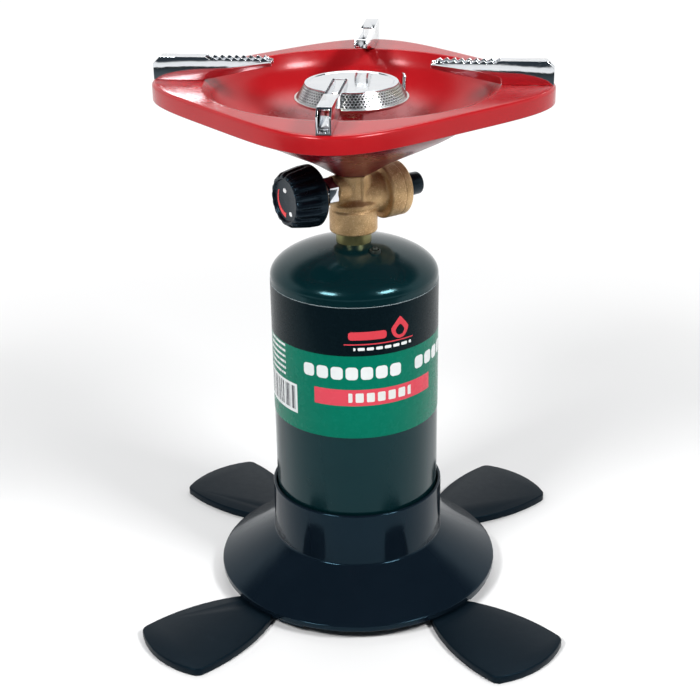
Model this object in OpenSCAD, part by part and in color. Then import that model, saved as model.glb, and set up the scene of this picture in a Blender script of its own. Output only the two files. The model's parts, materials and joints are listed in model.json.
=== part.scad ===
// Single-burner camping stove on a disposable gas cylinder, with a folding-foot stand.
// Z is up. The origin is on the ground under the centre of the cylinder.
// The feet point along the diagonals of the frame, and fold clockwise under the stand.

/* [Stand] */
// Outer radius of the collar that holds the cylinder
collar_r = 51.6; // [51:0.1:54]
// Wall of the collar
collar_wall = 2.0; // [1.6:0.1:2.2]
// Height of the collar's top edge
collar_top_z = 64; // [50:0.5:80]
// Height at which the cylinder rests
seat_z = 28.5; // [27:0.5:30]
// Height at which the collar meets the flange
flange_top_z = 30; // [29:0.5:32]
// Outer radius of the flange
rim_r = 85.4; // [84:0.2:88]
// Lowest edge of the flange's rim
rim_low_z = 6.5; // [6:0.1:8]
// Height of the rim band
rim_h = 3.9; // [3:0.1:4.5]

/* [Feet] */
// Distance of each foot's pivot from the centre
pivot_r = 70; // [68:0.5:71]
// Length of a foot from its pivot to its tip
foot_l = 83.5; // [78:0.5:84]
// Thickness of a foot
foot_t = 5; // [4:0.1:5]
// Widest half width of a foot
foot_half_w = 28.5; // [26:0.5:29]
// Radius of the shoulder screws that the feet turn on
pivot_pin_r = 3; // [2.5:0.1:3.5]

/* [Cylinder] */
// Outer radius of the gas cylinder
bottle_r = 49; // [48.5:0.1:49]
// Height at which the dome starts
dome_z = 198.3; // [197:0.1:200]
// Lower edge of the printed label
label_low_z = 114.6; // [80:0.2:130]
// Upper edge of the printed label
label_high_z = 195.6; // [180:0.2:196]
// Outer radius of the cylinder's thread
thread_r = 12.62; // [12.6:0.01:12.65]
// Top of the cylinder's thread
neck_top_z = 235.7; // [235:0.1:236.2]

/* [Valve] */
// Turn of the valve's cross axis about the vertical
valve_turn = 36.5; // [0:0.5:90]
// Height of the regulator's axis
axis_z = 244; // [243:0.1:245]
// Height of the knob's axis
knob_axis_z = 249.9; // [249:0.1:250.2]
// Radius of the threaded cup
cup_r = 13.8; // [13.6:0.1:14.4]
// Radius of the regulator boss
boss_r = 16; // [15:0.1:16.4]
// Radius of the knob at its rear
knob_r = 17.6; // [15:0.2:17.8]
// Length of the knob
knob_l = 19.2; // [16:0.2:24]

/* [Burner and pan] */
// Turn of the pan's corners about the vertical
pan_turn = -3.6; // [-10:0.1:10]
// Height of the pan's flange
pan_z = 310.2; // [309:0.1:311]
// Distance from the centre to a corner of the pan
pan_corner_r = 111.5; // [108:0.5:115]
// Distance from the centre to the middle of a side of the pan
pan_side_r = 92.5; // [90:0.5:94]
// Depth of the band round the pan's edge
pan_band_h = 9.8; // [7:0.2:12]
// Radius of the bowl's lip
bowl_r = 82.2; // [80:0.2:83]
// Sheet thickness of the pan
pan_t = 1.2; // [1:0.1:1.4]
// Radius of the burner's rolled edge
burner_r = 32.1; // [30:0.1:34]
// Height of the burner's top
burner_top_z = 310.3; // [309.5:0.1:311]

/* [Pot supports] */
// Height of the pot supports above the pan's flange
support_h = 13.1; // [11:0.1:14]
// Distance of a support's inner tip from the centre
tip_r = 43.8; // [42:0.2:50]
// Distance of a support's outer end from the centre
heel_r = 110.3; // [108:0.1:110.5]
// Width of a support across its two walls
support_w = 7.6; // [7:0.1:9]
// Sheet thickness of a support
support_t = 1; // [0.8:0.1:1.2]

/* [Hidden] */
$fn = 96;

quarters = [0, 90, 180, 270];
cut = 1;                    // how far a cutter runs past what it cuts
running = 0.05;             // radial clearance of a turning fit
lift = 0.2;                 // vertical gap between sliding faces

rim_top_z = rim_low_z + rim_h;
floor_t = 2.5;
collar_in = collar_r - collar_wall;
drain_r = 18;
sheet_t = 2.2;              // wall of the moulded stand

eye_r = 10.5;
screw_head_r = 5.6;
screw_head_h = 1.8;
screw_recess = 0.3;
screw_thread_r = 2;
boss_pin_r = 6.5;

side_arc_r = 110;           // the long sides of a foot
side_arc_x = 65;
end_arc_r = 55;             // the outer end of a foot
corner_r = 6;

shell_t = 1;
foot_round = 8;             // rounding at the cylinder's lower edge
neck_r = 10.25;
neck_low_z = 215.8;
dome_h = 20.5;
relief_r = 19.6;            // from the axis to the relief valve
relief_turn = -49;
relief_body_r = 3.2;
thread_low_z = 225.3;
label_t = 0.2;

cup_low_z = 224.3;
cup_top_z = 243.7;
cup_bore_r = thread_r + 0.08;
body_r = 10.4;
body_top_z = 258.6;
spigot_r = 6.4;
spigot_top_z = 265.6;
stem_r = 2.5;
knob_gap = 26.2;            // from the vertical axis to the knob's rear
nut_end = 25;
nut_start = 14;
knob_boss_r = 8.5;
boss_neck_r = 11.5;
boss_start = 16.8;
boss_split = 26.4;
boss_end = 31.4;
vent_l = 14;
chamber_r = 12;
chamber_start = 20;

band_low_z = 302;
tube_r = 5.4;
tube_low_z = 262.8;
cap_r = 26;

support_z = pan_z + lift;
support_top = pan_z + support_h;
rivet_r = 104;              // from the centre to each rivet
rivet_shank_r = 2;
wall_step_r = 83;           // where a support's lower edge starts to rise
tooth_n = 9;
tooth_h = 1.7;

// Points on an arc, from angle a0 to a1
function arc(cx, cy, r, a0, a1, n) =
    [for (i = [0:n]) let (a = a0 + (a1 - a0) * i / n) [cx + r * cos(a), cy + r * sin(a)]];

// Exponent of the rounded square that passes through the pan's corners and sides
pan_n = 1 / (0.5 - ln(pan_corner_r / pan_side_r) / ln(2));

// Radius of a rounded square at an angle, scaled from its side distance
function square_r(a, side) =
    side / pow(pow(abs(cos(a)), pan_n) + pow(abs(sin(a)), pan_n), 1 / pan_n);

// The pan's outline, pulled in by inset
function pan_outline(inset) =
    [for (i = [0:119]) let (a = i * 3, r = square_r(a, pan_side_r - inset)) [r * cos(a), r * sin(a)]];

// Centre of the rounding between a foot's side and its end
function corner_centre() =
    let (dx = side_arc_x - end_x, dy = side_y, d = norm([dx, dy]),
         rs = side_arc_r - corner_r, re = end_arc_r - corner_r,
         a = (re * re - rs * rs + d * d) / (2 * d), h = sqrt(re * re - a * a))
    [end_x + a * dx / d + h * dy / d, -a * dy / d + h * dx / d];

side_y = side_arc_r - foot_half_w;      // how far a side's centre is below the axis
end_x = foot_l - end_arc_r;

// Heights of the bowl's outer surface at falling radii
bowl_line = [[bowl_r, pan_z], [81.6, 308], [79, 303.6], [76, 298.9], [72, 294.4], [66, 289.5],
    [60, 285.5], [52, 281], [45, 277.5], [38, 274], [32, 271], [26, 267.9], [20, 264.6],
    [16, 262], [12.5, 259.4], [11, body_top_z]];

// Places a child along the regulator's axis, pointing outwards
module toward_regulator() {
    translate([0, 0, axis_z]) rotate([0, 0, valve_turn]) rotate([0, 90, 0]) children();
}

// Places a child along the knob's axis, pointing outwards
module toward_knob() {
    translate([0, 0, knob_axis_z]) rotate([0, 0, valve_turn + 180]) rotate([0, 90, 0]) children();
}

// A plain ring between two heights
module ring(r_out, r_in, z0, z1) {
    translate([0, 0, z0]) difference() {
        cylinder(r = r_out, h = z1 - z0);
        translate([0, 0, -cut]) cylinder(r = r_in, h = z1 - z0 + 2 * cut);
    }
}

// A hexagonal nut across its flats
module hex(across, z0, z1) {
    translate([0, 0, z0]) cylinder(r = across / sqrt(3), h = z1 - z0, $fn = 6);
}

// A coil spring standing on z = 0
module coil(coil_r, wire_r, height, turns) {
    steps = 14 * turns;
    sides = 6;
    points = [for (i = [0:steps]) let (a = 360 * turns * i / steps, z = height * i / steps)
        for (k = [0:sides - 1]) let (b = 360 * k / sides, r = coil_r + wire_r * cos(b))
            [r * cos(a), r * sin(a), z + wire_r * sin(b)]];
    walls = [for (i = [0:steps - 1]) for (k = [0:sides - 1])
        let (n = (k + 1) % sides, p = i * sides, q = p + sides)
        [p + k, q + k, q + n, p + n]];
    start = [for (k = [0:sides - 1]) k];
    end = [for (k = [sides - 1:-1:0]) steps * sides + k];
    polyhedron(points, concat(walls, [start, end]));
}

module base_stand() {
    profile = [
        [drain_r, seat_z - floor_t], [drain_r, seat_z], [collar_in, seat_z],
        [collar_in, collar_top_z - 0.6], [collar_in + 0.6, collar_top_z],
        [collar_r - 0.6, collar_top_z], [collar_r, collar_top_z - 0.6],
        [collar_r, flange_top_z + 2.5], [collar_r + 0.7, flange_top_z + 0.9],
        [collar_r + 2.4, flange_top_z - 0.6],
        [rim_r - 0.8, rim_top_z], [rim_r, rim_top_z - 0.8], [rim_r, rim_low_z],
        [rim_r - sheet_t, rim_low_z], [rim_r - sheet_t, rim_top_z - sheet_t * 0.6],
        [collar_in, seat_z - floor_t]];
    color("#0b1520") difference() {
        union() {
            rotate_extrude() polygon(profile);
            for (a = quarters) rotate([0, 0, a + 45]) {
                pivot_boss();
                foot_stop();
            }
        }
        for (a = quarters) rotate([0, 0, a + 45]) translate([pivot_r, 0, foot_t])
            cylinder(r = screw_thread_r, h = 8.5);
    }
}

// The boss that a pivot screw is driven into, kept inside the flange's upper face
module pivot_boss() {
    intersection() {
        translate([pivot_r, 0, foot_t + lift]) cylinder(r = boss_pin_r, h = flange_top_z);
        rotate_extrude() polygon([[0, 0], [rim_r - 1.5, 0], [rim_r - 1.5, rim_top_z - 0.8],
            [collar_r, flange_top_z - 1], [0, flange_top_z - 1]]);
    }
}

// The lug under the rim that a foot's edge slides past
module foot_stop() {
    translate([0, 0, foot_t + 0.4]) rotate([0, 0, 11]) rotate_extrude(angle = 14.4)
        translate([rim_r - 5.4, 0]) square([5, 6]);
}

module foot_pivot_screws() {
    color("#8d9398") for (a = quarters) rotate([0, 0, a + 45]) translate([pivot_r, 0, 0])
        difference() {
            union() {
                cylinder_between(screw_head_r, screw_recess, screw_recess + screw_head_h);
                cylinder_between(pivot_pin_r, screw_recess + cut, foot_t + lift);
                cylinder_between(screw_thread_r, foot_t, foot_t + 8);
            }
            for (turn = [0, 90]) rotate([0, 0, turn])
                translate([-2.5, -0.5, -cut]) cube([5, 1, screw_recess + cut + 1]);
        }
}

module cylinder_between(r, z0, z1) {
    translate([0, 0, z0]) cylinder(r = r, h = z1 - z0);
}

module foot(angle) {
    corner = corner_centre();
    side_a = atan2(corner[1] + side_y, corner[0] - side_arc_x);
    end_a = atan2(corner[1], corner[0] - end_x);
    half = concat(
        arc(side_arc_x, -side_y, side_arc_r, 126, side_a, 12),
        arc(corner[0], corner[1], corner_r, side_a, end_a, 5),
        arc(end_x, 0, end_arc_r, end_a, 0, 4));
    mirrored = [for (i = [len(half) - 2:-1:0]) [half[i][0], -half[i][1]]];
    color("#1b2a38") rotate([0, 0, angle]) translate([pivot_r, 0, 0]) difference() {
        union() {
            linear_extrude(foot_t) polygon(concat(half, mirrored));
            cylinder(r = eye_r, h = foot_t);
        }
        translate([0, 0, -cut]) cylinder(r = pivot_pin_r + running, h = foot_t + 2 * cut);
        translate([0, 0, -cut])
            cylinder(r = screw_head_r + 0.4, h = screw_recess + screw_head_h + running + cut);
    }
}

// Points of the dome over a wall radius, up to the neck's hole
function dome_line(wall_r, rise) =
    [for (i = [0:16]) let (a = i * acos(pow(neck_r / wall_r, 1 / 1.3)) / 16)
        [wall_r * pow(cos(a), 1.3), dome_z + rise * sin(a)]];

module cylinder_shell() {
    inner = dome_line(bottle_r - shell_t, dome_h - shell_t);
    color("#10343a") difference() {
        rotate_extrude() polygon(concat(
            [[0, seat_z + 5], [30, seat_z + 3], [38, seat_z]],
            arc(bottle_r - foot_round, seat_z + foot_round, foot_round, -90, 0, 6),
            dome_line(bottle_r, dome_h),
            [for (i = [len(inner) - 1:-1:0]) inner[i]],
            [[bottle_r - shell_t, seat_z + foot_round]],
            arc(bottle_r - foot_round, seat_z + foot_round, foot_round - shell_t, 0, -90, 6),
            [[38, seat_z + shell_t], [30, seat_z + 3 + shell_t], [0, seat_z + 5 + shell_t]]));
        at_relief() cylinder_between(relief_body_r, dome_z, dome_z + dome_h + cut);
    }
}

module at_relief() {
    rotate([0, 0, relief_turn]) translate([relief_r, 0, 0]) children();
}

module cylinder_label() {
    color("#00785c") ring(bottle_r + label_t, bottle_r, label_low_z, label_high_z);
}

module cylinder_neck() {
    color("#b9a24e") difference() {
        union() {
            cylinder_between(neck_r, neck_low_z, thread_low_z);
            translate([0, 0, thread_low_z]) cylinder(r1 = neck_r + 1.2, r2 = thread_r, h = 0.8);
            cylinder_between(thread_r, thread_low_z + 0.8, neck_top_z);
        }
        cylinder_between(4, neck_low_z - cut, neck_top_z + cut);
    }
}

module cylinder_valve_core() {
    color("#b08850") {
        cylinder_between(4, 223, 230);
        cylinder_between(2.2, 230, 232);
        cylinder_between(0.9, 232, 234.5);
    }
}

module valve_core_spring() {
    color("#a9adb0") translate([0, 0, 213.6]) coil(2.9, 0.5, 9, 5);
}

module relief_valve() {
    color("#8d9398") at_relief() {
        cylinder_between(relief_body_r, 213.6, 217.4);
        cylinder_between(1.6, 217.4, 218.6);
    }
}

module neck_gasket() {
    color("#202020") ring(9.2, 4.8, neck_top_z + lift, neck_top_z + 1.6);
}

module valve_body() {
    color("#b08850") difference() {
        union() {
            rotate_extrude() polygon([
                [0, cup_low_z], [cup_r - 0.7, cup_low_z], [cup_r, cup_low_z + 1],
                [cup_r, 237.4], [cup_r - 0.7, 238], [cup_r - 0.7, 239], [cup_r, 239.6],
                [cup_r, cup_top_z - 2.2], [body_r, cup_top_z + 1], [body_r, body_top_z - 0.6],
                [body_r - 0.6, body_top_z], [spigot_r, body_top_z], [spigot_r, spigot_top_z],
                [0, spigot_top_z]]);
            toward_regulator() {
                cylinder(r = boss_neck_r, h = boss_start + 0.5);
                translate([0, 0, boss_start]) cylinder(r1 = boss_r - 1, r2 = boss_r, h = 1);
                translate([0, 0, boss_start + 1])
                    cylinder(r = boss_r, h = boss_split - boss_start - 1);
            }
            toward_knob() {
                cylinder(r = knob_boss_r, h = nut_start - 0.5);
                translate([0, 0, nut_start - 0.5])
                    cylinder(r1 = knob_boss_r, r2 = knob_boss_r - 0.5, h = 0.5);
            }
            rib();
        }
        cylinder_between(cup_bore_r, cup_low_z - cut, 238.2);
        cylinder_between(3.2, 238, 241);
        cylinder_between(1.5, 240, spigot_top_z);
        cylinder_between(3, 259, spigot_top_z + cut);
        cylinder_between(tube_r, tube_low_z, spigot_top_z + cut);
        toward_regulator() {
            cylinder(r = 1.2, h = chamber_start + 1);
            translate([0, 0, chamber_start])
                cylinder(r = chamber_r, h = boss_split - chamber_start + cut);
        }
        toward_knob() {
            cylinder(r = stem_r + running, h = nut_start + cut);
            translate([0, 0, 8]) cylinder(r = 6, h = nut_start - 8 + cut);
        }
    }
}

// The casting's parting rib, down the front of the body
module rib() {
    for (side = [-1, 1]) rotate([0, 0, valve_turn + 90 * side])
        translate([body_r - 1.5, -1.2, cup_top_z - 4]) cube([3.2, 2.4, body_top_z - cup_top_z + 3]);
}

module inlet_probe() {
    color("#c9a06b") {
        cylinder_between(3.2, 238.2, 241);
        cylinder_between(1.2, 234.9, 238.2);
    }
}

module regulator_diaphragm() {
    color("#303030") toward_regulator() translate([0, 0, 21.4]) cylinder(r = chamber_r, h = 0.8);
}

module regulator_spring() {
    color("#a9adb0") toward_regulator() translate([0, 0, 22.9]) coil(6, 0.6, 6, 4);
}

module regulator_cap() {
    color("#b08850") toward_regulator() difference() {
        union() {
            cylinder_between(chamber_r, 22.2, boss_split);
            translate([0, 0, boss_split]) cylinder(r = boss_r, h = boss_end - boss_split - 0.8);
            translate([0, 0, boss_end - 0.8]) cylinder(r1 = boss_r, r2 = boss_r - 0.8, h = 0.8);
            cylinder_between(4, boss_end, boss_end + 6);
        }
        cylinder_between(9, 21, 29.8);
        cylinder_between(1.5, 29, boss_end + 6 + cut);
    }
}

module vent_cap() {
    color("#15171a") toward_regulator() difference() {
        union() {
            cylinder_between(7, boss_end, boss_end + vent_l - 1);
            translate([0, 0, boss_end + vent_l - 1]) cylinder(r1 = 7, r2 = 6, h = 1);
        }
        cylinder_between(4, boss_end - cut, boss_end + 6);
        cylinder_between(2.4, boss_end + vent_l - 3, boss_end + vent_l + cut);
    }
}

module packing_nut() {
    color("#1c1e20") toward_knob() difference() {
        union() {
            cylinder_between(6, 8, nut_start);
            hex(14.6, nut_start, 20);
            cylinder_between(6.6, 20, nut_end);
        }
        cylinder_between(stem_r + running, 7, nut_end + cut);
        cylinder_between(4.05, 10, 12);
    }
}

module valve_stem() {
    color("#b9bdc0") toward_knob() {
        translate([0, 0, 2]) cylinder(r1 = 0.6, r2 = stem_r, h = 3);
        cylinder_between(stem_r, 5, 39);
    }
}

module stem_o_ring() {
    color("#202020") toward_knob() translate([0, 0, 11])
        rotate_extrude() translate([3.2, 0]) circle(r = 0.7, $fn = 32);
}

module control_knob() {
    rear = knob_gap;
    face = knob_gap + knob_l;
    color("#111214") toward_knob() difference() {
        rotate_extrude() polygon([
            [stem_r, rear + 1], [8.6, rear + 1], [8.6, rear], [knob_r - 1, rear],
            [knob_r, rear + 1], [knob_r, rear + 6], [knob_r - 0.9, rear + 11],
            [knob_r - 2.1, face - 1.8], [knob_r - 3.4, face - 0.4], [knob_r - 4.4, face],
            [knob_r - 5.4, face], [knob_r - 6, face - 1.6], [0, face - 1.6], [0, 39], [stem_r, 39]]);
        for (i = [0:17]) rotate([0, 0, i * 20])
            translate([knob_r + 0.3, 0, rear + 7]) cylinder(r = 1.3, h = knob_l);
    }
}

// The coloured arc that shows how far the gas is open
module knob_dial_mark() {
    color("#d22a30") toward_knob() translate([0, 0, knob_gap + knob_l - 1.6])
        rotate([0, 0, 240]) rotate_extrude(angle = 114)
            translate([7.9, 0]) square([2.2, 0.3]);
}

module gas_jet() {
    color("#c9a06b") difference() {
        union() {
            cylinder_between(3, 259, 263.5);
            cylinder_between(1.8, 263.5, 265.2);
        }
        cylinder_between(0.4, 258, 266);
    }
}

module burner_tube() {
    color("#a9adb0") difference() {
        ring(tube_r, tube_r - 1, tube_low_z, 293);
        for (turn = [20, 110]) rotate([0, 0, turn]) translate([0, 0, 270.5])
            rotate([0, 90, 0]) translate([0, 0, -10]) cylinder(r = 2, h = 20);
    }
}

module burner_base() {
    color("#c9cdd0") rotate_extrude() polygon([
        [tube_r, 288], [tube_r + 0.8, 288], [tube_r + 0.8, 292], [15, 295], [25, 298.4],
        [burner_r - 0.8, 300.6], [burner_r, 301.2], [burner_r, 302], [burner_r - 1.1, 302],
        [24.6, 299.4], [14.6, 296], [tube_r, 293]]);
}

module burner_band() {
    color("#b9bdc0") rotate_extrude() polygon([
        [burner_r - 0.2, band_low_z], [cap_r + 0.4, burner_top_z - 0.7],
        [cap_r - 0.4, burner_top_z - 0.7], [burner_r - 1, band_low_z]]);
}

module burner_cap() {
    color("#d8dcdf") rotate_extrude() polygon([
        [0, burner_top_z - 0.8], [cap_r, burner_top_z - 0.7], [cap_r, burner_top_z - 0.3],
        [cap_r - 0.4, burner_top_z], [0, burner_top_z - 0.2]]);
}

// The small bent clip behind the burner's band
module burner_clip() {
    color("#d8dcdf") rotate([0, 0, 30]) {
        translate([burner_r, -2.6, 299.2]) cube([0.8, 5.2, 9.2]);
        translate([burner_r, 0, 308.4]) rotate([0, 90, 0]) cylinder(r = 2.6, h = 0.8);
        translate([burner_r - 2, -2.6, 299.2]) cube([2.4, 5.2, 0.6]);
    }
}

module drip_pan() {
    inner = [for (i = [len(bowl_line) - 1:-1:1]) [bowl_line[i][0] - pan_t * 0.75,
        bowl_line[i][1] + pan_t]];
    bowl = concat(bowl_line, [[spigot_r, body_top_z], [spigot_r, body_top_z + pan_t]], inner,
        [[bowl_r - pan_t, pan_z]]);
    color("#b01c22") rotate([0, 0, pan_turn]) {
        difference() {
            translate([0, 0, pan_z - pan_band_h]) linear_extrude(pan_band_h)
                rotate(45) polygon(pan_outline(0));
            translate([0, 0, pan_z - pan_band_h - cut]) linear_extrude(pan_band_h + cut - pan_t)
                rotate(45) polygon(pan_outline(pan_t));
            cylinder_between(bowl_r - pan_t / 2, pan_z - pan_band_h, pan_z + cut);
            for (a = quarters) rotate([0, 0, a]) translate([rivet_r, 0, 0])
                cylinder_between(rivet_shank_r, pan_z - 3, pan_z + cut);
        }
        rotate_extrude() polygon(bowl);
    }
}

module pan_washer() {
    color("#b9bdc0") ring(9.8, spigot_r, body_top_z + pan_t, body_top_z + pan_t + 1);
}

module pan_nut() {
    color("#c9a06b") difference() {
        hex(17, body_top_z + pan_t + 1, spigot_top_z - 0.6);
        cylinder_between(spigot_r, 250, 280);
    }
}

// One pot support: a folded channel with teeth along its inner half
module pot_support(angle) {
    tooth = (wall_step_r - tip_r - 3) / tooth_n;
    teeth = [for (i = [0:tooth_n - 1]) each [
        [tip_r + 2 + i * tooth, support_top - tooth_h], [tip_r + 2 + (i + 0.65) * tooth, support_top]]];
    side = concat(
        [[tip_r, support_top - 4.6], [tip_r, support_top - 2]], teeth,
        [[wall_step_r, support_top], [heel_r - 4, support_top], [heel_r, support_top - 4],
            [heel_r, support_z], [wall_step_r, support_z]]);
    inner_w = support_w - 2 * support_t;
    color("#c9cdd0") rotate([0, 0, angle + pan_turn]) difference() {
        translate([0, support_w / 2, 0]) rotate([90, 0, 0]) linear_extrude(support_w) polygon(side);
        translate([tip_r - cut, -inner_w / 2, support_z + support_t])
            cube([heel_r - tip_r + 2 * cut, inner_w, support_h - lift - 2 * support_t]);
        translate([tip_r + 4, -inner_w / 2, support_z + support_t])
            cube([wall_step_r - tip_r - 6, inner_w, support_h]);
        translate([rivet_r, 0, 0])
            cylinder_between(rivet_shank_r + running, pan_z - cut, support_z + support_t + cut);
        translate([0, -support_w / 2 - cut, support_z - cut]) rotate([-90, 0, 0])
            linear_extrude(support_w + 2 * cut) polygon([[0, 0], [1, 0], [0, 1]]);
    }
}

module support_rivets() {
    color("#a9adb0") for (a = quarters) rotate([0, 0, a + pan_turn]) translate([rivet_r, 0, 0]) {
        cylinder_between(rivet_shank_r, pan_z - pan_t - 1, support_z + support_t + lift);
        cylinder_between(2.6, pan_z - pan_t - 1.2, pan_z - pan_t);
        translate([0, 0, support_z + support_t + lift]) cylinder(r1 = 2.6, r2 = 1.6, h = 1.2);
    }
}

base_stand();
foot_pivot_screws();
foot(45);  // foot_1
foot(135);  // foot_2
foot(225);  // foot_3
foot(315);  // foot_4
cylinder_shell();
cylinder_label();
cylinder_neck();
cylinder_valve_core();
valve_core_spring();
relief_valve();
neck_gasket();
valve_body();
inlet_probe();
regulator_diaphragm();
regulator_spring();
regulator_cap();
vent_cap();
packing_nut();
valve_stem();
stem_o_ring();
control_knob();
knob_dial_mark();
gas_jet();
burner_tube();
burner_base();
burner_band();
burner_cap();
burner_clip();
drip_pan();
pan_washer();
pan_nut();
pot_support(0);  // pot_support_1
pot_support(90);  // pot_support_2
pot_support(180);  // pot_support_3
pot_support(270);  // pot_support_4
support_rivets();
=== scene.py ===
import json
import math

import bmesh
import bpy
from mathutils import Matrix, Vector


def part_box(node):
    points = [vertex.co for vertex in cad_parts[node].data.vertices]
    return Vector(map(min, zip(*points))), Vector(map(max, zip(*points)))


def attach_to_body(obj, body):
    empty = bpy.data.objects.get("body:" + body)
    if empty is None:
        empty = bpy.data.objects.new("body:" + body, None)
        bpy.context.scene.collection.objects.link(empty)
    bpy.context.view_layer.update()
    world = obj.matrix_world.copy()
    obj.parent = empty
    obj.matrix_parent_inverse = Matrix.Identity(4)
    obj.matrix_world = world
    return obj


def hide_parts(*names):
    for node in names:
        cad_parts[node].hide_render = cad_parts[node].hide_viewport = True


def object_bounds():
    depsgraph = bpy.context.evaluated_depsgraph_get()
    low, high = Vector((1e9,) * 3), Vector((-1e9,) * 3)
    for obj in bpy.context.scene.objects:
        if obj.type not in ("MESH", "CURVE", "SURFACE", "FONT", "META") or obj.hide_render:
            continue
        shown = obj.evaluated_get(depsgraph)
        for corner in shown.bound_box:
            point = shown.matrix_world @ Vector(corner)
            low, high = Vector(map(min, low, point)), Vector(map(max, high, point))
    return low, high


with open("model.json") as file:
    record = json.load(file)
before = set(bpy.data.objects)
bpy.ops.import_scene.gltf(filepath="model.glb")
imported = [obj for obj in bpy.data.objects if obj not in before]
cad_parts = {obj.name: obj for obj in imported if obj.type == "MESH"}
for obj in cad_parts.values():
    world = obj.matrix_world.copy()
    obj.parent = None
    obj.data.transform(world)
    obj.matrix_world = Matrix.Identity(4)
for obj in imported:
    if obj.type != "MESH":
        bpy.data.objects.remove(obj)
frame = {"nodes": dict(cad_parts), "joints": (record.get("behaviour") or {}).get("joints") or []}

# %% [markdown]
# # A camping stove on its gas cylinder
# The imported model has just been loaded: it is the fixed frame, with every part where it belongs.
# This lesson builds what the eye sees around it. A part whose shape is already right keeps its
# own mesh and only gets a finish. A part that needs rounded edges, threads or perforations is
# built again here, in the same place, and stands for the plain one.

cad_low, cad_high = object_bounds()
MM = 0.001
height = cad_high.z


def box_mm(node):
    """A node's lowest and highest corners, in millimetres."""
    low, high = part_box(node)
    return low / MM, high / MM


def joint(name):
    """A joint of the record, by its name."""
    return next(row for row in frame["joints"] if row["name"] == name)


print("the stove is", [round(v / MM, 1) for v in cad_high - cad_low], "mm")

# %% [markdown]
# ## Camera, floor and light
# The stove is seen from a little above, as a product is on a table: the camera looks down about
# a quarter of a right angle, so the base shows its top faces while the burner is nearly edge on.
# The camera is placed from an aim point on the axis, a distance, a heading and a tilt, which is
# easier to adjust than three coordinates and three angles.

# %% Camera
AIM_HEIGHT = 0.4587 * height
AIM_ASIDE = -0.00317
DISTANCE = 0.857
HEADING = math.radians(3.85)
TILT = math.radians(24.13)
ROLL = math.radians(-0.91)
LENS = 73.98


def make_camera():
    """Points the camera at the axis from its distance, heading and tilt, with a small roll."""
    data = bpy.data.cameras.new("camera")
    data.lens = LENS
    camera = bpy.data.objects.new("camera", data)
    bpy.context.scene.collection.objects.link(camera)
    back = Vector((math.sin(HEADING) * math.cos(TILT), -math.cos(HEADING) * math.cos(TILT),
                   math.sin(TILT)))
    aside = Vector((math.cos(HEADING), math.sin(HEADING), 0))
    turn = (-back).to_track_quat("-Z", "Y").to_matrix().to_4x4()
    place = Vector((0, 0, AIM_HEIGHT)) + aside * AIM_ASIDE + back * DISTANCE
    camera.matrix_world = Matrix.Translation(place) @ turn @ Matrix.Rotation(ROLL, 4, "Z")
    bpy.context.scene.camera = camera
    return camera


print("camera at", [round(v, 3) for v in make_camera().matrix_world.translation])

# %% [markdown]
# The floor is a wide pale sheet that brightens to plain white away from the stove, like the
# paper sweep of a studio table. Two soft boxes stand to the left and right of the camera, and
# a third lights from behind. Glossy enamel and chrome show mostly what surrounds them, so the
# sky is white behind the stove and dark overhead and in front. A black card lies in front of
# the stove, seen only in reflections, which keeps the faces of the chrome dark, as a flag does
# in a studio.

# %% Node trees: arithmetic on sockets
class Value:
    """One number, colour or vector in a node tree. Python arithmetic on it adds Math nodes."""

    def __init__(self, graph, socket):
        self.graph = graph
        self.socket = socket

    def math(self, operation, *others):
        return self.graph.node("ShaderNodeMath", [self, *others], operation=operation)

    def __add__(self, other):
        return self.math("ADD", other)

    def __sub__(self, other):
        return self.math("SUBTRACT", other)

    def __mul__(self, other):
        return self.math("MULTIPLY", other)

    def __truediv__(self, other):
        return self.math("DIVIDE", other)

    def __pow__(self, other):
        return self.math("POWER", other)

    def __gt__(self, other):
        return self.math("GREATER_THAN", other)

    def __lt__(self, other):
        return self.math("LESS_THAN", other)

    def __rsub__(self, other):
        return self.graph.node("ShaderNodeMath", [other, self], operation="SUBTRACT")

    def __rtruediv__(self, other):
        return self.graph.node("ShaderNodeMath", [other, self], operation="DIVIDE")

    __radd__ = __add__
    __rmul__ = __mul__


class Graph:
    """A node tree, and the one method that adds any node to it."""

    def __init__(self, tree):
        self.tree = tree

    def node(self, kind, inputs=(), output=0, **settings):
        """Adds a node: its settings first, then the values or links of its sockets."""
        node = self.tree.nodes.new(kind)
        for key, value in settings.items():
            setattr(node, key, value)
        pairs = inputs.items() if isinstance(inputs, dict) else enumerate(inputs)
        for key, value in pairs:
            if isinstance(value, Value):
                self.tree.links.new(value.socket, node.inputs[key])
            elif value is not None:
                node.inputs[key].default_value = value
        return Value(self, node.outputs[output])

    def xyz(self, vector):
        """The three parts of a vector."""
        split = self.node("ShaderNodeSeparateXYZ", [vector]).socket.node
        return [Value(self, out) for out in split.outputs]

    def smooth(self, value, low, high):
        """0 below low and 1 above high, with a soft step between."""
        return self.node("ShaderNodeMapRange", {0: value, 1: low, 2: high},
                         interpolation_type="SMOOTHSTEP", clamp=True)


print("node arithmetic is ready")

# %% Floor, sky and lamps
FLOOR_WHITE = 1.05
FLOOR_TONE = 0.7
NEAR, FAR = 0.16, 0.8
CARD_BLACK = (0.02, 0.03, 0.036, 1)
SKY_DARK, SKY_WHITE = (0.03, 0.04, 0.05, 1), (1.0, 1.0, 1.0, 1)


def flat_sheet(name, middle, width, depth, up):
    """A flat rectangle of the stage, at a height."""
    x, y = middle
    mesh = bpy.data.meshes.new(name)
    corners = [(x + i * width / 2, y + j * depth / 2, up)
               for i, j in ((-1, -1), (1, -1), (1, 1), (-1, 1))]
    mesh.from_pydata(corners, [], [(0, 1, 2, 3)])
    sheet = bpy.data.objects.new(name, mesh)
    bpy.context.scene.collection.objects.link(sheet)
    return sheet


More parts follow.
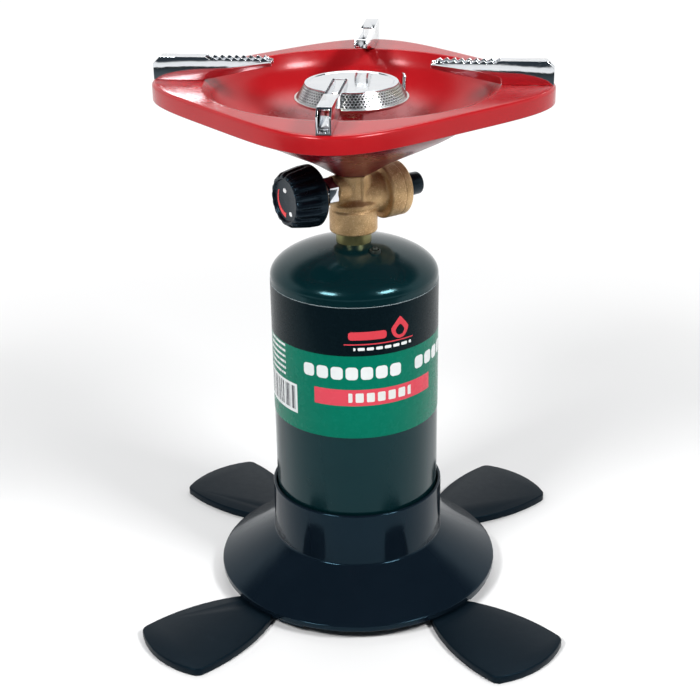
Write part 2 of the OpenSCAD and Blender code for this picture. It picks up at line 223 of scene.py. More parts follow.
def make_stage():
    """A pale floor, a graded sky and a black card, none of them part of the stove."""
    floor = flat_sheet("floor", (0, 0), 14, 14, 0)
    paper = bpy.data.materials.new("floor_paper")
    paper.use_nodes = True
    graph = Graph(paper.node_tree)
    x, y, z = graph.xyz(graph.node("ShaderNodeTexCoord", output="Object"))
    away = graph.smooth((x * x + y * y).math("SQRT"), NEAR, FAR)
    shader = paper.node_tree.nodes["Principled BSDF"]
    shader.inputs["Roughness"].default_value = 0.9
    shader.inputs["Specular IOR Level"].default_value = 0.1
    shader.inputs["Emission Strength"].default_value = FLOOR_WHITE
    near = graph.node("ShaderNodeCombineXYZ", [(1 - away) * FLOOR_TONE] * 3)
    glow = graph.node("ShaderNodeCombineXYZ", [away] * 3)
    paper.node_tree.links.new(near.socket, shader.inputs["Base Color"])
    paper.node_tree.links.new(glow.socket, shader.inputs["Emission Color"])
    floor.data.materials.append(paper)
    card = flat_sheet("black_card", (0, -1.35), 3.0, 2.1, 0.002)
    black = bpy.data.materials.new("black_card")
    black.use_nodes = True
    black.node_tree.nodes["Principled BSDF"].inputs["Base Color"].default_value = CARD_BLACK
    card.data.materials.append(black)
    card.visible_camera = card.visible_diffuse = card.visible_shadow = False
    world = bpy.data.worlds.new("studio")
    bpy.context.scene.world = world
    world.use_nodes = True
    sky = Graph(world.node_tree)
    x, y, z = sky.xyz(sky.node("ShaderNodeTexCoord", output="Generated"))
    behind = sky.smooth(y, -0.45, 0.05) * (1 - sky.smooth(z, 0.5, 0.66))
    horizon = 1 - sky.smooth(z, 0.03, 0.1)
    shade = sky.node("ShaderNodeMix", {
        0: behind.math("MAXIMUM", horizon), 6: SKY_DARK, 7: SKY_WHITE},
        output=2, data_type="RGBA")
    background = world.node_tree.nodes["Background"]
    world.node_tree.links.new(shade.socket, background.inputs["Color"])
    background.inputs["Strength"].default_value = 1.0


def soft_box(name, heading, tilt, distance, width, tall, power):
    """A rectangular area lamp that faces the middle of the stove."""
    data = bpy.data.lights.new(name, "AREA")
    data.shape = "RECTANGLE"
    data.size = width
    data.size_y = tall
    data.energy = power
    lamp = bpy.data.objects.new(name, data)
    bpy.context.scene.collection.objects.link(lamp)
    a, e = math.radians(heading), math.radians(tilt)
    back = Vector((math.sin(a) * math.cos(e), -math.cos(a) * math.cos(e), math.sin(e)))
    turn = (-back).to_track_quat("-Z", "Y").to_matrix().to_4x4()
    lamp.matrix_world = Matrix.Translation(Vector((0, 0, height / 2)) + back * distance) @ turn


make_stage()
soft_box("lamp_left", heading=-37, tilt=42, distance=1.5, width=0.42, tall=0.28, power=20)
soft_box("lamp_right", heading=55, tilt=42, distance=1.5, width=0.42, tall=0.28, power=20)
soft_box("lamp_back", heading=180, tilt=62, distance=1.8, width=1.4, tall=0.6, power=15)
scene = bpy.context.scene
scene.view_settings.view_transform = "Standard"
print("stage and", len(bpy.data.lights), "lamps")

# %% [markdown]
# ## Finishes
# Each finish is a Principled shader with small procedural patterns. The patterns read Object
# coordinates, which are the stove's own metres, so a scale of 1000 makes features about a
# millimetre wide. Gloss comes from roughness and the specular level, the colour of a dark
# surface's reflections from the specular tint, and grain and dents from bump.

# %% A finish and its patterns
class Finish(Graph):
    """One material: a Principled shader and the patterns that feed it."""

    def __init__(self, name, **constants):
        self.material = bpy.data.materials.new(name)
        self.material.use_nodes = True
        super().__init__(self.material.node_tree)
        self.shader = self.tree.nodes["Principled BSDF"]
        for key, value in constants.items():
            self.shader.inputs[key.replace("_", " ")].default_value = value
        self.place = self.node("ShaderNodeTexCoord", output="Object")

    def noise(self, scale, detail=3.0, roughness=0.55, place=None):
        """Cloudy noise from 0 to 1."""
        return self.node("ShaderNodeTexNoise", {
            "Vector": place or self.place, "Scale": scale, "Detail": detail,
            "Roughness": roughness})

    def stretched(self, x, y, z):
        """The object's coordinates scaled apart, for streaks and brushed lines."""
        return self.node("ShaderNodeMapping", {"Vector": self.place, "Scale": (x, y, z)})

    def blend(self, mask, first, second):
        """A colour between two, by a mask."""
        def wide(colour):
            return colour if isinstance(colour, Value) else (*colour, 1)
        return self.node("ShaderNodeMix", {0: mask, 6: wide(first), 7: wide(second)},
                         output=2, data_type="RGBA")

    def feed(self, socket, value):
        """Links a value to one socket of the shader."""
        self.tree.links.new(value.socket, self.shader.inputs[socket])

    def bump(self, height_value, distance, strength=1.0):
        """Turns a height pattern into a surface relief of a depth in metres."""
        relief = self.node("ShaderNodeBump", {
            "Height": height_value, "Distance": distance, "Strength": strength})
        self.feed("Normal", relief)


def edge_wear(finish, low=0.55, high=0.68):
    """Scattered small scuffs: where coarse and fine noise are both high."""
    coarse = finish.noise(90, 2)
    fine = finish.noise(900, 4, 0.7)
    return finish.smooth(coarse * 0.5 + fine * 0.5, low, high)


print("finish tools are ready")

# %% [markdown]
# The stand is one glossy moulding, almost black with a cold blue tint. A real moulding is never
# a perfect mirror: faint waves from the mould bend the reflections, and handling leaves dull
# patches. The feet come from another mould with a finer, satin surface.

# %% Moulded plastics of the stand and the feet
def stand_plastic():
    f = Finish("stand_plastic", IOR=1.5, Specular_IOR_Level=0.27,
               Specular_Tint=(0.27, 0.6, 0.82, 1))
    f.feed("Base Color", f.blend(f.noise(35, 2), (0.0022, 0.0048, 0.0085),
                                 (0.0038, 0.0075, 0.0125)))
    dull = f.smooth(f.noise(60, 4), 0.45, 0.7)
    f.feed("Roughness", dull * 0.06 + edge_wear(f) * 0.08 + 0.1)
    f.bump(f.noise(110, 2) * 0.8 + f.noise(2600, 2) * 0.02, 0.0002, 0.35)
    return f.material


def foot_plastic():
    f = Finish("foot_plastic", IOR=1.48, Specular_IOR_Level=0.16,
               Specular_Tint=(0.2, 0.45, 0.65, 1))
    tint = f.blend(f.noise(50, 3), (0.0016, 0.0042, 0.0072), (0.0026, 0.0060, 0.0098))
    f.feed("Base Color", f.blend(edge_wear(f, 0.6, 0.72), tint, (0.006, 0.011, 0.016)))
    f.feed("Roughness", f.noise(300, 4) * 0.14 + 0.3)
    f.bump(f.noise(3500, 3, 0.7) * 0.4 + f.noise(160, 2) * 0.6, 0.00012, 0.5)
    return f.material


STAND = stand_plastic()
FOOT = foot_plastic()
print("finishes:", STAND.name, FOOT.name)

# %% [markdown]
# The cylinder is steel with a wet-looking dark green enamel, and the pan has the same kind of
# enamel in red. Sprayed enamel has orange peel, the slight ripple that breaks up highlights.
# The pan also has soft soot and heat stains near its centre, small chips on its rim, and
# painted shade on its underside, darker where an attribute of the mesh says the surface faces
# down.

# %% Enamels of the cylinder and the pan
def cylinder_enamel():
    f = Finish("cylinder_enamel", IOR=1.5, Specular_IOR_Level=0.4,
               Specular_Tint=(0.3, 0.66, 0.74, 1))
    f.feed("Base Color", f.blend(f.noise(40, 3), (0.0008, 0.0085, 0.0105),
                                 (0.0014, 0.012, 0.0145)))
    f.feed("Roughness", f.noise(200, 3) * 0.08 + edge_wear(f) * 0.12 + 0.12)
    f.bump(f.noise(700, 2), 0.00003, 0.4)
    return f.material


def red_enamel():
    f = Finish("red_enamel", IOR=1.5, Specular_IOR_Level=0.42,
               Specular_Tint=(1.0, 0.6, 0.62, 1))
    x, y, z = f.xyz(f.place)
    reach = (x * x + y * y).math("SQRT")
    base = f.blend(f.noise(30, 3), (0.27, 0.0045, 0.007), (0.34, 0.0065, 0.0095))
    # Painted shade: the enamel is darkened where the surface faces down, under the pan
    under = f.node("ShaderNodeAttribute", attribute_name="under", output="Fac")
    base = f.blend(f.smooth(under, 0.1, 0.6), base, (0.12, 0.0015, 0.006))
    soot = (1 - f.smooth(reach, 0.02, 0.078)) * f.smooth(f.noise(60, 5, 0.65), 0.2, 0.75)
    base = f.blend(soot * 0.75, base, (0.045, 0.003, 0.005))
    chips = f.smooth(f.noise(1500, 3, 0.6), 0.73, 0.76) * f.smooth(f.noise(120, 2), 0.5, 0.6)
    f.feed("Base Color", f.blend(chips * 0.6, base, (0.08, 0.015, 0.015)))
    f.feed("Roughness", f.noise(150, 3) * 0.1 + soot * 0.25 + 0.17)
    f.bump(f.noise(600, 2) + chips * -3.0, 0.00004, 0.5)
    return f.material


CYLINDER = cylinder_enamel()
PAN = red_enamel()
print("finishes:", CYLINDER.name, PAN.name)

# %% [markdown]
# The printed wrap is flat artwork bent round the cylinder. The shader rolls it out: the angle
# round the axis times the radius gives millimetres across, and the height gives millimetres
# up. Each printed shape is then a product of simple tests. The shapes are plain bars, blocks
# and a drop, with no words.

# %% Printed wrap of the cylinder
LABEL_HEADING = math.radians(-66)
LABEL_RADIUS = 49.2
BAND_LOW, BAND_HIGH = 114.6, 166.2
TRIM = box_mm("cylinder_label")[1].z - 0.35


def bar(across, up, middle, width, low, high, corner=0.0):
    """A mask for a printed rectangle, in millimetres, with rounded corners."""
    x = ((across - middle).math("ABSOLUTE") - (width / 2 - corner)).math("MAXIMUM", 0)
    y = ((up - (low + high) / 2).math("ABSOLUTE")
         - ((high - low) / 2 - corner)).math("MAXIMUM", 0)
    return (x * x + y * y).math("SQRT") < max(corner, 0.001)


def joined(*masks):
    """Where any of the masks is on."""
    total = masks[0]
    for mask in masks[1:]:
        total = total.math("MAXIMUM", mask)
    return total


def label_print():
    f = Finish("label_print", IOR=1.5, Specular_IOR_Level=0.2,
               Specular_Tint=(0.12, 0.35, 0.4, 1))
    turned = f.node("ShaderNodeVectorRotate", {"Vector": f.place, "Angle": -LABEL_HEADING},
                    rotation_type="Z_AXIS")
    x, y, z = f.xyz(turned)
    across = y.math("ARCTAN2", x) * LABEL_RADIUS
    up = z / MM
    band = (up > BAND_LOW - 1) * (up < BAND_HIGH)
    ink = f.blend(f.noise(300, 3) * 0.5, (0.0016, 0.0045, 0.0066), (0.0025, 0.0062, 0.0088))
    green = f.blend(f.noise(250, 3), (0.0, 0.118, 0.071), (0.001, 0.138, 0.086))
    colour = f.blend(band, f.blend(up > TRIM, ink, (0.16, 0.19, 0.2)), green)
    # A flame over a rule, and a row of small marks under it
    drop_x = (across - 9.0) / (1.0 - (up - 181.0).math("MAXIMUM", 0) * 0.105)
    drop_y = (up - 181.0) * 0.85
    drop = ((drop_x * drop_x + drop_y * drop_y).math("SQRT") < 5.6) * (up < 190.4)
    heart_x = (across - 9.0) / (1.0 - (up - 179.6).math("MAXIMUM", 0) * 0.16)
    heart_y = (up - 179.6) * 0.9
    heart = ((heart_x * heart_x + heart_y * heart_y).math("SQRT") < 2.9) * (up < 185.6)
    rule = bar(across, up, -3.0, 42, 173.0, 173.7)
    badge = joined(drop * (1 - heart), rule, bar(across, up, -10.5, 22, 176.0, 181.0, 1.8))
    colour = f.blend(badge, colour, (0.5, 0.04, 0.055))
    small = bar((across + 100.0).math("MODULO", 5.2), up, 2.6, 4.0, 169.6, 171.4, 0.6)
    small = small * ((across + 1.0).math("ABSOLUTE") < 17.6)
    blocks = bar((across + 101.4).math("MODULO", 8.6), up, 4.3, 7.0, 151.6, 159.4, 2.2)
    blocks = blocks * ((across - 2.2).math("ABSOLUTE") < 51.6) \
        * (1 - ((across - 15.0).math("ABSOLUTE") < 4.3))
    # Fine print: six rows, broken up by noise
    rows = bar((up + 100.0).math("MODULO", 3.6), across, 1.8, 1.5, -84.6, -64.6)
    breaks = f.node("ShaderNodeCombineXYZ", [across * 0.9, (up / 3.6).math("FLOOR") * 7.0])
    rows = rows * (up > 144.0) * (up < 165.5) * (f.noise(1.0, 1, place=breaks) > 0.42)
    patch = bar(across, up, -71.8, 34, 124.6, 143.0)
    comb = f.node("ShaderNodeCombineXYZ", [across * 0.9])
    stripes = (f.noise(1.0, 1, place=comb) > 0.5) \
        * (up > 126.6) * (up < 141.4) * ((across + 71.8).math("ABSOLUTE") < 15.4)
    colour = f.blend(joined(small, blocks, rows, patch), colour, (0.6, 0.62, 0.62))
    colour = f.blend(stripes, colour, (0.02, 0.02, 0.03))
    colour = f.blend(bar(across, up, -4.4, 75.6, 135.2, 145.4), colour, (0.56, 0.055, 0.08))
    marks = bar((across + 101.8).math("MODULO", 6.4), up, 3.2, 4.6, 137.4, 143.2, 0.8)
    marks = marks * ((across + 2.6).math("ABSOLUTE") < 19.2)
    colour = f.blend(marks, colour, (0.6, 0.6, 0.58))
    scuffs = edge_wear(f, 0.62, 0.7)
    f.feed("Base Color", f.blend(scuffs * 0.1, colour, (0.06, 0.07, 0.07)))
    f.feed("Roughness", f.noise(220, 3) * 0.1 + scuffs * 0.15 + 0.22)
    f.bump(f.noise(500, 2), 0.00003, 0.4)
    return f.material


LABEL = label_print()
print("finish:", LABEL.name)

# %% [markdown]
# The valve body is sand-cast brass: tumbled, dull and pitted. Its colour shifts where it has
# tarnished, and its relief has two sizes, grains of sand and broader dimples. Turned brass and
# zinc are smoother, with fine rings left by the lathe.

# %% Brass and zinc
def cast_brass():
    f = Finish("cast_brass", Metallic=0.7)
    tarnish = f.smooth(f.noise(90, 5, 0.6), 0.35, 0.75)
    tone = f.blend(tarnish, (0.68, 0.45, 0.225), (0.42, 0.25, 0.105))
    f.feed("Base Color", f.blend(f.smooth(f.noise(1500, 3), 0.52, 0.75), tone,
                                 (0.88, 0.66, 0.40)))
    f.feed("Roughness", f.noise(700, 3) * 0.16 + tarnish * 0.1 + 0.3)
    grain = f.noise(1500, 4, 0.7) * 0.6 + f.noise(330, 4, 0.6) * 1.6
    f.bump(grain, 0.0004, 0.9)
    return f.material


def turned_metal(name, light, dark, rough):
    """Metal from a lathe: fine rings across the axis."""
    f = Finish(name, Metallic=1.0)
    rings = f.noise(1.0, 2, place=f.stretched(60, 60, 9000))
    f.feed("Base Color", f.blend(f.noise(200, 3), light, dark))
    f.feed("Roughness", f.noise(500, 3) * 0.12 + rings * 0.08 + rough)
    f.bump(rings, 0.00002, 0.5)
    return f.material


CAST_BRASS = cast_brass()
TURNED_BRASS = turned_metal("turned_brass", (0.72, 0.52, 0.24), (0.6, 0.4, 0.16), 0.2)
YELLOW_ZINC = turned_metal("yellow_zinc", (0.36, 0.33, 0.14), (0.2, 0.2, 0.1), 0.26)
ZINC = turned_metal("zinc", (0.62, 0.63, 0.65), (0.45, 0.46, 0.48), 0.28)
DARK_ZINC = turned_metal("dark_zinc", (0.07, 0.085, 0.075), (0.03, 0.04, 0.036), 0.3)
print("finishes:", CAST_BRASS.name, TURNED_BRASS.name, YELLOW_ZINC.name, ZINC.name)

# %% [markdown]
# Chrome is a mirror with a very slight haze. Sheet metal that has been punched and folded is
# never quite flat, so a broad, shallow bump makes its reflections wander. The burner's plated
# steel is duller and has a hint of straw and blue where the flame heats it.

# %% Chrome, plated steel, rubber and black plastic
def bright_chrome():
    f = Finish("bright_chrome", Metallic=1.0)
    f.feed("Base Color", f.blend(f.noise(80, 3), (0.80, 0.82, 0.84), (0.70, 0.73, 0.77)))
    f.feed("Roughness", f.noise(300, 4) * 0.06 + edge_wear(f) * 0.12 + 0.04)
    f.bump(f.noise(110, 2) + f.noise(1500, 2) * 0.05, 0.0003, 0.3)
    return f.material


def plated_steel():
    f = Finish("plated_steel", Metallic=1.0)
    heat = f.smooth(f.noise(60, 3), 0.45, 0.75)
    f.feed("Base Color", f.blend(heat, (0.72, 0.73, 0.74), (0.60, 0.56, 0.48)))
    f.feed("Roughness", f.noise(600, 3) * 0.14 + 0.18)
    f.bump(f.noise(900, 3), 0.00005, 0.4)
    return f.material


def dark_rubber():
    f = Finish("dark_rubber")
    f.feed("Base Color", f.blend(f.noise(400, 3), (0.012, 0.012, 0.012), (0.03, 0.03, 0.03)))
    f.feed("Roughness", f.noise(800, 3) * 0.2 + 0.6)
    f.bump(f.noise(2500, 3), 0.00005, 0.5)
    return f.material


# Painted shade: a near-black, dull finish for the sleeve that stands for the shade inside the
# burner
def soot_black():
    f = Finish("soot_black", Specular_IOR_Level=0.1)
    f.feed("Base Color", f.blend(f.noise(500, 4), (0.004, 0.004, 0.004), (0.012, 0.011, 0.01)))
    f.feed("Roughness", f.noise(900, 3) * 0.2 + 0.7)
    f.bump(f.noise(3000, 3), 0.00005, 0.5)
    return f.material


def black_plastic():
    f = Finish("black_plastic", IOR=1.48, Specular_IOR_Level=0.34,
               Specular_Tint=(0.35, 0.62, 0.85, 1))
    worn = edge_wear(f, 0.58, 0.7)
    f.feed("Base Color", f.blend(worn, (0.0022, 0.0036, 0.006), (0.008, 0.011, 0.016)))
    f.feed("Roughness", f.noise(500, 3) * 0.14 + 0.18)
    f.bump(f.noise(2600, 3, 0.7) * 0.3 + f.noise(300, 2) * 0.4, 0.0001, 0.5)
    return f.material


def dial_ink(name, light, dark):
    """Hot-stamped ink on the knob's face, a little uneven."""
    f = Finish(name)
    f.feed("Base Color", f.blend(f.noise(1500, 4, 0.7), light, dark))
    f.feed("Roughness", f.noise(900, 3) * 0.2 + 0.3)
    f.bump(f.noise(2500, 3), 0.00003, 0.4)
    return f.material


CHROME = bright_chrome()
PLATED = plated_steel()
RUBBER = dark_rubber()
SHADE_BLACK = soot_black()
BLACK = black_plastic()
DIAL_RED = dial_ink("dial_red", (0.75, 0.04, 0.045), (0.55, 0.02, 0.03))
DIAL_WHITE = dial_ink("dial_white", (0.8, 0.8, 0.8), (0.6, 0.62, 0.64))
print("finishes:", CHROME.name, PLATED.name, RUBBER.name, BLACK.name)

# %% [markdown]
# ## Building tools
# Most parts of a stove are turned, spun or pressed round one axis, so the main tool is a lathe:
# it takes an outline, half of the part's section, and turns it. Corners are given with a
# fillet, because light catches a rounded edge and no real part is perfectly sharp.

# %% Outlines, the lathe and placing
def rounded(corners, closed=True, steps=4):
    """An outline from (r, z) or (r, z, fillet) corners, in millimetres."""
    line = []
    for i, corner in enumerate(corners):
        here = Vector(corner[:2])
        fillet = corner[2] if len(corner) > 2 else 0
        at_end = not closed and i in (0, len(corners) - 1)
        if not fillet or at_end:
            line.append(here)
            continue
        back = Vector(corners[i - 1][:2]) - here
        ahead = Vector(corners[(i + 1) % len(corners)][:2]) - here
        half = back.angle(ahead) / 2
        cut = min(fillet / math.tan(half), 0.48 * back.length, 0.48 * ahead.length)
        radius = cut * math.tan(half)
        towards = (back.normalized() + ahead.normalized()).normalized()
        centre = here + towards * (radius / math.sin(half))
        first = here + back.normalized() * cut - centre
        last = here + ahead.normalized() * cut - centre
        for s in range(steps + 1):
            line.append(centre + first.lerp(last, s / steps).normalized() * radius)
    return line


def lathe(line, steps=144, closed=True, radius_at=None):
    """A mesh turned from an outline. radius_at may change a radius by angle and height."""
    bm = bmesh.new()
    rings = []
    for r, z in line:
        if r < 1e-6:
            rings.append([bm.verts.new((0, 0, z * MM))])
            continue
        ring = []
        for k in range(steps):
            a = 2 * math.pi * k / steps
            reach = (radius_at(r, z, a) if radius_at else r) * MM
            ring.append(bm.verts.new((reach * math.cos(a), reach * math.sin(a), z * MM)))
        rings.append(ring)
    pairs = list(zip(rings, rings[1:])) + ([(rings[-1], rings[0])] if closed else [])
    for low, high in pairs:
        for k in range(steps):
            n = (k + 1) % steps
            if len(low) > 1 and len(high) > 1:
                bm.faces.new((low[k], low[n], high[n], high[k]))
            elif len(high) > 1:
                bm.faces.new((low[0], high[n], high[k]))
            elif len(low) > 1:
                bm.faces.new((low[k], low[n], high[0]))
    bmesh.ops.recalc_face_normals(bm, faces=bm.faces)
    mesh = bpy.data.meshes.new("turned")
    bm.to_mesh(mesh)
    bm.free()
    return mesh


def add(name, mesh):
    """A new object at the origin."""
    piece = bpy.data.objects.new(name, mesh)
    bpy.context.scene.collection.objects.link(piece)
    return piece


def wear(piece, material, sharp=38):
    """Gives a piece its finish, smooth shading and crisp edges above an angle."""
    mesh = piece.data
    mesh.materials.clear()
    mesh.materials.append(material)
    mesh.polygons.foreach_set("material_index", [0] * len(mesh.polygons))
    mesh.shade_smooth()
    mesh.set_sharp_from_angle(angle=math.radians(sharp))
    return piece


def attach(piece, body, slot, *nodes):
    """Lets a piece ride on its body and stand for its plain parts."""
    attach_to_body(piece, body)
    if nodes:
        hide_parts(*nodes)
    print(piece.name, len(piece.data.polygons), "faces")
    return piece


def applied(piece):
    """Turns a piece's modifiers into its mesh."""
    bpy.context.view_layer.update()
    graph = bpy.context.evaluated_depsgraph_get()
    mesh = bpy.data.meshes.new_from_object(piece.evaluated_get(graph), depsgraph=graph)
    piece.modifiers.clear()
    piece.data = mesh
    return piece


print("building tools are ready")

# %% [markdown]
# Flat folded or moulded parts, such as the feet and the pot supports, already have the right
# outline in the frame. A copy of such a mesh is loose triangles, so it is welded first, its
# flat faces are dissolved into one polygon each, and then its edges are bevelled.

# %% Softened copies of frame parts
def softened(node, name, width, segments=3, angle=30):
    """A welded copy of a frame part with bevelled edges. The width is in millimetres."""
    bm = bmesh.new()
    bm.from_mesh(frame["nodes"][node].data)
    bmesh.ops.remove_doubles(bm, verts=bm.verts, dist=1e-6)
    bmesh.ops.dissolve_limit(bm, angle_limit=math.radians(0.5), verts=bm.verts, edges=bm.edges)
    mesh = bpy.data.meshes.new(name)
    bm.to_mesh(mesh)
    bm.free()
    piece = add(name, mesh)
    bevel = piece.modifiers.new("bevel", "BEVEL")
    bevel.width = width * MM
    bevel.segments = segments
    bevel.limit_method = "ANGLE"
    bevel.angle_limit = math.radians(angle)
    bevel.harden_normals = False
    return applied(piece)


for number in range(1, 5):
    foot = softened(f"foot_{number}", f"foot_{number}_moulding", 0.9)
    wear(foot, FOOT, 50)
    attach(foot, f"foot_{number}_body", "foot_plastic", f"foot_{number}")

# %% [markdown]
# ## The stand
# A moulded bell: a thin collar that holds the cylinder, a step, and a wide conical flange with
# a narrow upright rim. It could be modelled from a box, but every section through its axis is
# the same, so it is turned. The lugs and screw bosses under it are added as separate closed
# forms that sink into the moulding.

# %% Stand
STAND_HIGH = box_mm("base_stand")[1]
RIM, COLLAR_TOP = STAND_HIGH.x, STAND_HIGH.z
COLLAR_OUT, COLLAR_IN = 51.6, 49.6
SEAT = box_mm("cylinder_shell")[0].z
FLANGE_TOP = SEAT + 1.5
RIM_LOW = 6.5
RIM_WALL = 2.2
FLOOR_T = 2.5
PIVOT_R = Vector(joint("foot_1_fold")["pos_m"][:2]).length / MM


def sector(r_in, r_out, z_low, z_high, start, end, steps=8):
    """A closed block that follows a circle between two angles, in degrees."""
    bm = bmesh.new()
    columns = []
    for k in range(steps + 1):
        a = math.radians(start + (end - start) * k / steps)
        columns.append([bm.verts.new((r * MM * math.cos(a), r * MM * math.sin(a), z * MM))
                        for r, z in ((r_in, z_low), (r_out, z_low), (r_out, z_high),
                                     (r_in, z_high))])
    for one, two in zip(columns, columns[1:]):
        for k in range(4):
            n = (k + 1) % 4
            bm.faces.new((one[k], one[n], two[n], two[k]))
    bm.faces.new(columns[0])
    bm.faces.new(columns[-1])
    bmesh.ops.recalc_face_normals(bm, faces=bm.faces)
    mesh = bpy.data.meshes.new("sector")
    bm.to_mesh(mesh)
    bm.free()
    return mesh


def merged(name, meshes):
    """One object from several meshes, which stay separate closed forms."""
    bm = bmesh.new()
    for mesh in meshes:
        bm.from_mesh(mesh)
    mesh = bpy.data.meshes.new(name)
    bm.to_mesh(mesh)
    bm.free()
    return add(name, mesh)


def shifted(mesh, matrix):
    """The same mesh after a move or turn."""
    mesh.transform(matrix)
    return mesh


def make_stand():
    bell = lathe(rounded([
        (18, SEAT - FLOOR_T, 0.5), (18, SEAT, 0.5), (COLLAR_IN, SEAT, 0.6),
        (COLLAR_IN, COLLAR_TOP, 0.8), (COLLAR_OUT, COLLAR_TOP, 0.8),
        (COLLAR_OUT, FLANGE_TOP + 0.9, 1.6), (RIM - 1.0, RIM_LOW + 4.1, 1.0),
        (RIM, RIM_LOW + 3.4, 0.5), (RIM, RIM_LOW, 0.5), (RIM - RIM_WALL, RIM_LOW, 0.4),
        (RIM - RIM_WALL, RIM_LOW + 2.6, 1.0), (COLLAR_IN, SEAT - FLOOR_T, 2.0)], steps=5), 192)
    forms = [bell]
    for corner in range(4):
        middle = 45 + 90 * corner
        forms.append(sector(RIM - 5.4, RIM - 0.5, 5.4, RIM_LOW + 2, middle + 11, middle + 25.4))
        a = math.radians(middle)
        boss = lathe(rounded([(2, 5.2, 0.2), (6.5, 5.2, 0.4), (6.5, 14), (2, 14)]), 32)
        forms.append(shifted(boss, Matrix.Translation(
            Vector((math.cos(a), math.sin(a), 0)) * PIVOT_R * MM)))
    return merged("stand_bell", forms)


attach(wear(make_stand(), STAND), "stand", "stand_plastic", "base_stand")

# %% [markdown]
# ## The gas cylinder
# A drawn steel can with a domed top. The shell is turned in one piece, and the dome's section
# follows a rule: its height rises with the sine of an angle while its radius shrinks with a
# power of the cosine, which is rounder at the shoulder than an ellipse. The printed wrap is a
# thin sleeve over the can, and its upper edge draws a fine bright line round the shoulder.

# %% Cylinder shell and wrap
BOTTLE = box_mm("cylinder_shell")[1].x
LABEL_LOW, LABEL_HIGH = (corner.z for corner in box_mm("cylinder_label"))
LABEL_R = box_mm("cylinder_label")[1].x
NECK_LOW = box_mm("cylinder_neck")[0].z
DOME_Z = 198.3
DOME_H = 20.5
DOME_POWER = 1.3
SHELL_T = 1
NECK_R = 10.25


def dome(wall, rise, steps=28):
    """The dome's section, from the wall up to the hole for the neck."""
    last = math.acos((NECK_R / wall) ** (1 / DOME_POWER))
    return [Vector((wall * math.cos(a) ** DOME_POWER, DOME_Z + rise * math.sin(a)))
            for a in (last * k / steps for k in range(steps + 1))]


def make_shell():
    foot = rounded([(0, SEAT + 5), (30, SEAT + 3, 4), (38, SEAT, 3), (BOTTLE, SEAT, 8),
                    (BOTTLE, DOME_Z)], closed=False, steps=8)
    inner, low = BOTTLE - SHELL_T, SEAT + SHELL_T
    inside = rounded([(inner, DOME_Z), (inner, low, 7), (38, low, 3), (30, low + 3, 4),
                      (0, low + 5)], closed=False, steps=8)
    line = foot[:-1] + dome(BOTTLE, DOME_H) + dome(inner, DOME_H - SHELL_T)[::-1] + inside[1:]
    return add("cylinder_can", lathe(line, 192))


shell = wear(make_shell(), CYLINDER)
attach(shell, "cylinder", "cylinder_enamel", "cylinder_shell")
wrap = add("cylinder_wrap", lathe(rounded([
    (BOTTLE - 0.02, LABEL_LOW), (LABEL_R, LABEL_LOW, 0.06),
    (LABEL_R, LABEL_HIGH, 0.1), (BOTTLE - 0.02, LABEL_HIGH)]), 192))
attach(wear(wrap, LABEL), "cylinder", "label_print", "cylinder_label")

# %% [markdown]
# The neck carries a 1 inch thread with 20 turns to the inch. A thread is a ridge whose height
# depends on angle and height together, so the lathe's radius is changed by a small rule instead
# of cutting a groove: one full turn round the axis shifts the ridge by one pitch.

# %% Threaded neck and relief valve
PITCH = 1.27
THREAD_R = box_mm("cylinder_neck")[1].x
NECK_TOP = box_mm("cylinder_neck")[1].z
THREAD_LOW = 225.3
THREAD_DEPTH = 0.62


def thread(r, z, a):
    """The radius of the thread's surface: a rounded V that climbs as it turns."""
    if r < THREAD_R - 0.01 or z < THREAD_LOW + 0.6 or z > NECK_TOP - 0.3:
        return r
    climb = ((z - THREAD_LOW) / PITCH - a / (2 * math.pi)) % 1.0
    return r - THREAD_DEPTH * abs(2 * climb - 1)


def make_neck():
    rows = 8 * round((NECK_TOP - THREAD_LOW) / PITCH)
    flank = [(THREAD_R, THREAD_LOW + (NECK_TOP - THREAD_LOW) * k / rows) for k in range(rows)]
    line = [(NECK_R, NECK_LOW), (NECK_R, THREAD_LOW - 1.6), (11.4, THREAD_LOW - 1.2),
            (11.4, THREAD_LOW - 0.4), *flank, (THREAD_R - 0.9, NECK_TOP), (4, NECK_TOP),
            (4, NECK_LOW)]
    return add("neck_thread", lathe(line, 96, radius_at=thread))


attach(wear(make_neck(), YELLOW_ZINC, 60), "cylinder", "yellow_zinc", "cylinder_neck")
relief_low, relief_high = box_mm("relief_valve")
relief_at = (relief_low + relief_high) / 2
relief = lathe(rounded([
    (0, 0), (3.2, 0), (3.2, 3.8, 0.4), (2.5, 3.8, 0.3), (2.3, 3.0, 0.3), (1.6, 2.9, 0.2),
    (1.6, 5, 0.5), (0.7, 5, 0.1), (0.7, 4.3), (0, 4.3)], closed=False), 40, closed=False)
relief = shifted(relief, Matrix.Translation(Vector((relief_at.x, relief_at.y, relief_low.z)) * MM))
attach(wear(add("relief_pin", relief), DARK_ZINC), "cylinder", "zinc_screw", "relief_valve")

# %% [markdown]
# ## The brass valve body
# A casting is where several round forms flow into each other. Boolean unions would leave sharp
# creases, so the forms are overlapped and rebuilt by a voxel remesh, which welds them into one
# skin, and then smoothed: that rounds every crease like the fillets of a sand casting.
# The threaded cup is cut out afterwards, so that its bore stays crisp.

